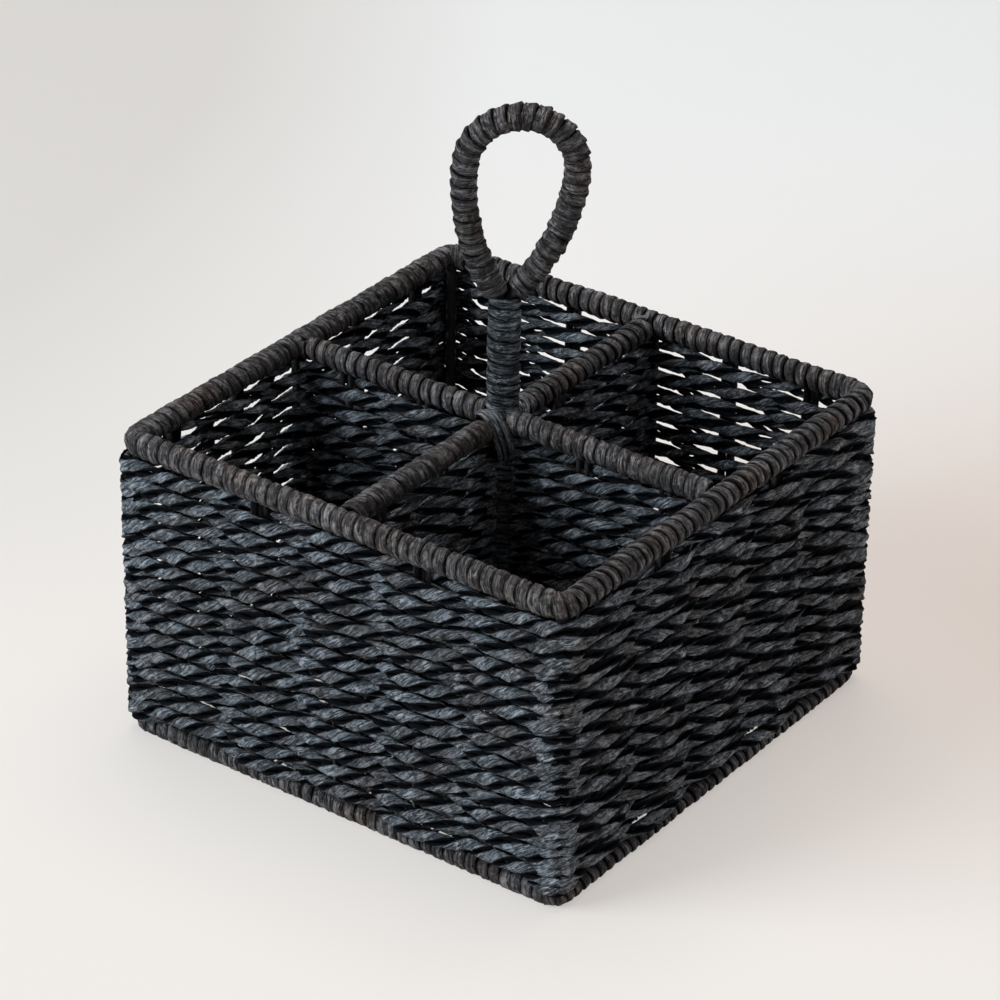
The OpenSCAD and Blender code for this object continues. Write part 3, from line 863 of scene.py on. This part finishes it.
class CADDY_OT_stake_cords(bpy.types.Operator):
    """Cord laid down both sides of each pair of wall stakes, which shows below the rim"""

    bl_idname = "caddy.stake_cords"
    bl_label = "Stake cords"

    def execute(self, context):
        sizes = context.scene.caddy_weave
        top, foot = RIM_Z - 2.0 * MM, BASE_Z + 7 * MM
        seed, pitch = 130.0, 1.0
        for name, walls, along_wall in (("x", (0, 2), (1.0, 0.0, 0.0)),
                                        ("y", (1, 3), (0.0, 1.0, 0.0))):
            lines = []
            for k in walls:
                for number in range(-2, 3):
                    # The two strands lie side by side along the wall
                    start = pitch * (math.pi / 2 - (seed + len(lines)) * SEED_ANGLE) / TAU
                    x = number * sizes.stake_pitch
                    lines.append(with_length(
                        [on_wall(k, x, 0.0, top + (foot - top) * i / 40) for i in range(41)], start
                    ))
            strand_piece(
                "stake_cords_" + name, lines, surface("charcoal_wrap"), [], "binding_cord",
                pitch=pitch, strands=2, reach_across=1.5 * MM, reach_up=1.5 * MM,
                half_thickness=1.75 * MM, half_width=1.75 * MM, wander=0.0, loose_twist=0.6,
                lumps=0.2, creases=0.3, sides=10, seed=seed, up=along_wall,
            )
        return {"FINISHED"}


class CADDY_OT_dividers(bpy.types.Operator):
    """The four woven half dividers"""

    bl_idname = "caddy.dividers"
    bl_label = "Woven dividers"

    def execute(self, context):
        sizes = context.scene.caddy_weave
        for k in range(4):
            turn = math.pi / 2 * k - math.pi / 2
            lines = []
            for number, side in enumerate((1, -1)):
                # From beside the post to the wall's rows, of which every other one lies deeper in
                start, end = 5.6 * MM, HALF_X - (1.6 if side > 0 else 4.9) * MM
                plan = panel_row(sizes, start, end, side * sizes.wave)
                z = TOP_ROW_Z - sizes.cord / 2 - number * sizes.row_pitch
                swell = [spread(sizes, y) for x, y in plan]
                points = [(*about_middle(x, y, turn), z) for x, y in plan]
                # No two dividers start at the same place of the twist
                lines.append(with_length(points, 0.1 * k, swell))
            strand_piece(
                WALL_NAMES[k] + "_divider_cords", lines, surface("charcoal_weave"),
                [WALL_NAMES[k] + "_divider_weave"], "woven_cord",
                rows=sizes.rows // 2, row_drop=2 * sizes.row_pitch, strands=2,
                pitch=sizes.twist * (1 if k % 2 else -1.2),
                reach_across=0.95 * MM, reach_up=1.15 * MM, half_thickness=0.96 * MM,
                half_width=1.75 * MM, wander=1.5 * MM, loose_twist=2.6, lumps=0.34,
                creases=0.42, seed=17.0 + k,
            )
        return {"FINISHED"}


class CADDY_OT_base(bpy.types.Operator):
    """The woven base, one piece for each compartment"""

    bl_idname = "caddy.base"
    bl_label = "Woven base"

    def execute(self, context):
        sizes = context.scene.caddy_weave
        for back in (False, True):
            for right in (False, True):
                name = ("back" if back else "front") + ("_right" if right else "_left")
                low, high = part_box("base_weave_" + name)
                middle_z = (low.z + high.z) / 2
                depth = (high.z - low.z) / 2 - BASE_CORD_HALF
                near, far = sorted((abs(low.y), abs(high.y)))
                span = far - near - 2 * BASE_CORD_HALF
                count = round(span / (3.9 * MM))
                inner, outer = sorted((abs(low.x), abs(high.x)))
                sx, sy = (1 if right else -1), (1 if back else -1)
                lines = []
                for number in range(count + 1):
                    plan = panel_row(sizes, inner, outer, depth if number % 2 == 0 else -depth)
                    y = sy * (near + BASE_CORD_HALF + number * span / count)
                    points = [(sx * x, y, middle_z + z) for x, z in plan]
                    swell = [1 + 0.25 * min(1.0, abs(z) / depth) for x, z in plan]
                    # No two rows start at the same place of the twist
                    lines.append(with_length(points, 0.013 * number, swell))
                strand_piece(
                    "base_cords_" + name, lines, surface("charcoal_weave"),
                    ["base_weave_" + name], "woven_cord",
                    rows=1, strands=2, pitch=-28 * MM, reach_across=0.65 * MM,
                    reach_up=0.85 * MM, half_thickness=0.82 * MM, half_width=1.4 * MM,
                    wander=0.2 * MM, loose_twist=0.9, lumps=0.1, creases=0.14, seed=31.0,
                    sides=10, spacing=2.2 * MM, up=(0.0, 1.0, 0.0),
                )
        return {"FINISHED"}


def ring_line(z):
    """Middle line of the rim or base rod, once round, from the back left corner."""
    bend = 5.2 * MM
    points = []
    corners = [(-1, 1, 90), (-1, -1, 180), (1, -1, 270), (1, 1, 0)]
    for sx, sy, start in corners:
        cx, cy = sx * (HALF_X - bend), sy * (HALF_Y - bend)
        for i in range(10):
            a = math.radians(start + 10 * i)
            points.append((cx + bend * math.cos(a), cy + bend * math.sin(a), z))
    points.append(points[0])
    line, turned, before = [], 0.0, 0.0
    for i, (place, length, _) in enumerate(with_length(points)):
        # The cord is wound closer round the corners, where the outside is longer
        turned += (length - before) * (1.0 if i % 10 == 0 else 1.75)
        line.append((place, turned, 1.0))
        before = length
    return line


class CADDY_OT_rings(bpy.types.Operator):
    """Cord bound round the rim and the base ring"""

    bl_idname = "caddy.rings"
    bl_label = "Rim and base bindings"

    def execute(self, context):
        sizes = context.scene.caddy_binding
        line = ring_line(RIM_Z)
        around = line[-1][1]
        names = ["rim_binding_" + w for w in WALL_NAMES] + ["rim_corner_bindings"]
        strand_piece(
            "rim_cord", [line], surface("charcoal_wrap"), names, "binding_cord",
            pitch=-around / round(around / sizes.rim_pitch), spacing=0.22 * MM,
            reach_across=sizes.rim_reach, reach_up=sizes.rim_reach, half_thickness=1.75 * MM,
            half_width=2.4 * MM, wander=0.15 * MM, lumps=0.25, slide=0.7 * MM, squareness=0.15,
            sides=18, seed=50.0, **BOUND,
        )
        line = ring_line(BASE_Z)
        around = line[-1][1]
        names = ["base_binding_" + w for w in WALL_NAMES] + ["base_corner_bindings"]
        strand_piece(
            "base_cord", [line], surface("charcoal_wrap"), names, "binding_cord",
            pitch=-around / round(around / sizes.rim_pitch), spacing=0.26 * MM,
            reach_across=sizes.base_reach, reach_up=sizes.base_reach, half_thickness=1.35 * MM,
            half_width=2.35 * MM, wander=0.05 * MM, lumps=0.2, slide=0.9 * MM, squareness=0.15,
            lowest=CAD_BOX[0].z + 0.05 * MM, sides=16, seed=60.0, **BOUND,
        )
        return {"FINISHED"}


class CADDY_OT_divider_bindings(bpy.types.Operator):
    """Cord bound round the dividers' top rods"""

    bl_idname = "caddy.divider_bindings"
    bl_label = "Divider bindings"

    def execute(self, context):
        sizes = context.scene.caddy_binding
        for k in range(4):
            turn = math.pi / 2 * k - math.pi / 2
            # The lashing lies on the roots of the front and back dividers
            start, end = (11.6 if k % 2 == 0 else 1.0) * MM, HALF_X - 3.4 * MM
            points = [(*about_middle(start + (end - start) * i / 60, 0.0, turn), RIM_Z)
                      for i in range(61)]
            strand_piece(
                WALL_NAMES[k] + "_divider_cord", [with_length(points)],
                surface("charcoal_wrap"), ["divider_binding_" + WALL_NAMES[k]],
                "binding_cord", pitch=-sizes.rim_pitch, spacing=0.22 * MM,
                reach_across=2.95 * MM, reach_up=2.95 * MM, half_thickness=1.6 * MM,
                half_width=2.4 * MM, wander=0.15 * MM, lumps=0.25, slide=0.9 * MM,
                squareness=0.2, sides=18, seed=70.0 + k, **BOUND,
            )
        return {"FINISHED"}


# Where the post's winding ends, below the loop
POST_TOP = 172.5 * MM
# The handle stands in one upright plane, turned about the post
HANDLE_TURN = math.radians(38)
HANDLE_ACROSS = Vector((math.cos(HANDLE_TURN), math.sin(HANDLE_TURN), 0))
HANDLE_NORMAL = (-math.sin(HANDLE_TURN), math.cos(HANDLE_TURN), 0.0)


def on_handle(x, z):
    return (HANDLE_ACROSS.x * x, HANDLE_ACROSS.y * x, z)


def loop_points():
    """Middle line of the loop: up the left leg, over the top and down the right leg."""
    # In millimetres: height of the widest place, and radius of the top and of the legs
    wide_z, top_r, leg_r, lean = 221.3, 19.8, 80.0, math.radians(6)
    # The loop leans about this height. Each leg ends this far from the post's middle.
    junction, apart = wide_z - leg_r * 0.62, 3.4

    def leaned(x, z):
        return (x * math.cos(lean) + (z - junction) * math.sin(lean),
                junction + (z - junction) * math.cos(lean) - x * math.sin(lean))

    top = leaned(0, wide_z)
    legs = {s: leaned(s * (top_r - leg_r), wide_z) for s in (-1, 1)}
    points = []

    def arc(centre, radius, start, end, steps):
        for i in range(steps + 1):
            a = start + (end - start) * i / steps
            points.append((centre[0] + radius * math.cos(a), centre[1] + radius * math.sin(a)))

    left = math.acos((apart + legs[-1][0]) / leg_r)
    right = math.acos((apart - legs[1][0]) / leg_r)
    arc(legs[-1], leg_r, math.pi + left, math.pi - lean, 40)
    arc(top, top_r, math.pi - lean, -lean, 60)
    arc(legs[1], leg_r, -lean, -right, 40)
    return joined([on_handle(x * MM, z * MM) for x, z in points])


class CADDY_OT_handle(bpy.types.Operator):
    """Windings of the post and of the loop"""

    bl_idname = "caddy.handle"
    bl_label = "Handle windings"

    def execute(self, context):
        sizes = context.scene.caddy_binding
        strand_piece(
            "loop_cord", [with_length(loop_points())], surface("charcoal_wrap"),
            ["loop_winding"], "binding_cord", pitch=sizes.loop_pitch, spacing=0.2 * MM,
            reach_across=sizes.loop_reach, reach_up=sizes.loop_reach, half_thickness=1.7 * MM,
            lap=0.45 * MM, half_width=2.2 * MM, wander=0.2 * MM, loose_twist=2.6, lumps=0.3,
            creases=0.32, slide=1.2 * MM, bulge=0.14, squareness=0.4, fibre_turn=60.0, sides=20,
            seed=80.0, up=HANDLE_NORMAL,
        )
        for name, node, low, high, seed in (
            ("lower_post_cord", "lower_post_winding", BASE_Z + 2.5 * MM, RIM_Z - 2 * MM, 90.0),
            ("upper_post_cord", "upper_post_winding", RIM_Z + 2 * MM, POST_TOP, 95.0),
        ):
            points = [on_handle(0.0, low + (high - low) * i / 80) for i in range(81)]
            strand_piece(
                name, [with_length(points)], surface("charcoal_post"), [node],
                "binding_cord", pitch=sizes.post_pitch, spacing=0.17 * MM,
                reach_across=4.9 * MM, reach_up=3.2 * MM, half_thickness=1.15 * MM, lap=0.25 * MM,
                half_width=2.4 * MM, wander=0.1 * MM, loose_twist=2.4, lumps=0.3,
                creases=0.4, slide=1.5 * MM, bulge=0.1, fibre_turn=60.0, sides=20,
                seed=seed, up=HANDLE_NORMAL,
            )
        return {"FINISHED"}


class CADDY_OT_lashing(bpy.types.Operator):
    """Strands over the crossing, at the post's foot"""

    bl_idname = "caddy.lashing"
    bl_label = "Crossing lashing"

    def execute(self, context):
        # Slantwise over a divider's root, from one hollow down into the next
        path = [(-5.8, -3.2, -2.4), (-5.4, -4.6, 1.4), (-3.4, -6.6, 3.8), (0.0, -8.0, 3.8),
                (2.9, -8.6, 0.6), (4.6, -8.4, -3.6), (5.4, -7.4, -8.0), (4.6, -5.4, -11.5),
                (2.5, -3.0, -14.0)]
        lines, seed, pitch = [], 110.0, 1.0
        for turn, facing in ((0.0, math.pi), (math.pi, 0.0)):
            for shift in ((-0.7, -1.3), (0.5, 0.6), (1.8, 2.3)):
                # The flat side of each strand lies on the root
                start = pitch * (facing - (seed + len(lines)) * SEED_ANGLE) / TAU
                points = []
                for x, y, z in smooth(path, 5):
                    x, y = about_middle(x + shift[0], y + shift[1], turn)
                    points.append((x * MM, y * MM, RIM_Z + z * MM))
                lines.append(with_length(points, start))
        strand_piece(
            "crossing_strands", lines, surface("charcoal_weave"), ["crossing_lashing"],
            "binding_cord", pitch=pitch, spacing=0.6 * MM, strands=1, reach_across=0.0,
            reach_up=0.0, half_thickness=1.3 * MM, half_width=1.75 * MM, wander=0.3 * MM,
            loose_twist=0.9, lumps=0.25, creases=0.4, fibre_turn=60.0, sides=18, seed=seed,
            up=(0.0, -1.0, 0.0),
        )
        return {"FINISHED"}


class CADDY_PT_panel(bpy.types.Panel):
    """Steps that build the caddy"""

    bl_idname = "CADDY_PT_panel"
    bl_label = "Woven caddy"
    bl_space_type = "VIEW_3D"
    bl_region_type = "UI"
    bl_category = "Caddy"

    def draw(self, context):
        for step in OPERATORS:
            self.layout.operator(step.bl_idname)
        for group in ("caddy_weave", "caddy_binding", "caddy_colours"):
            box = self.layout.box()
            settings = getattr(context.scene, group)
            for name in settings.bl_rna.properties.keys():
                if name not in ("rna_type", "name"):
                    box.prop(settings, name)


OPERATORS = (
    CADDY_OT_stage,
    CADDY_OT_wires,
    CADDY_OT_walls,
    CADDY_OT_stake_cords,
    CADDY_OT_dividers,
    CADDY_OT_base,
    CADDY_OT_rings,
    CADDY_OT_divider_bindings,
    CADDY_OT_handle,
    CADDY_OT_lashing,
)
GROUPS = (
    ("caddy_weave", CaddyWeave),
    ("caddy_binding", CaddyBinding),
    ("caddy_colours", CaddyColours),
)


def register():
    for name, group in GROUPS:
        bpy.utils.register_class(group)
        setattr(bpy.types.Scene, name, bpy.props.PointerProperty(type=group))
    for item in (*OPERATORS, CADDY_PT_panel):
        bpy.utils.register_class(item)


def unregister():
    for item in reversed((*OPERATORS, CADDY_PT_panel)):
        bpy.utils.unregister_class(item)
    for name, group in reversed(GROUPS):
        delattr(bpy.types.Scene, name)
        bpy.utils.unregister_class(group)


def main():
    register()
    bpy.ops.caddy.stage()
    bpy.ops.caddy.wires()
    bpy.ops.caddy.walls()
    bpy.ops.caddy.stake_cords()
    bpy.ops.caddy.dividers()
    bpy.ops.caddy.base()
    bpy.ops.caddy.rings()
    bpy.ops.caddy.divider_bindings()
    bpy.ops.caddy.handle()
    bpy.ops.caddy.lashing()


if __name__ == "__main__":
    main()
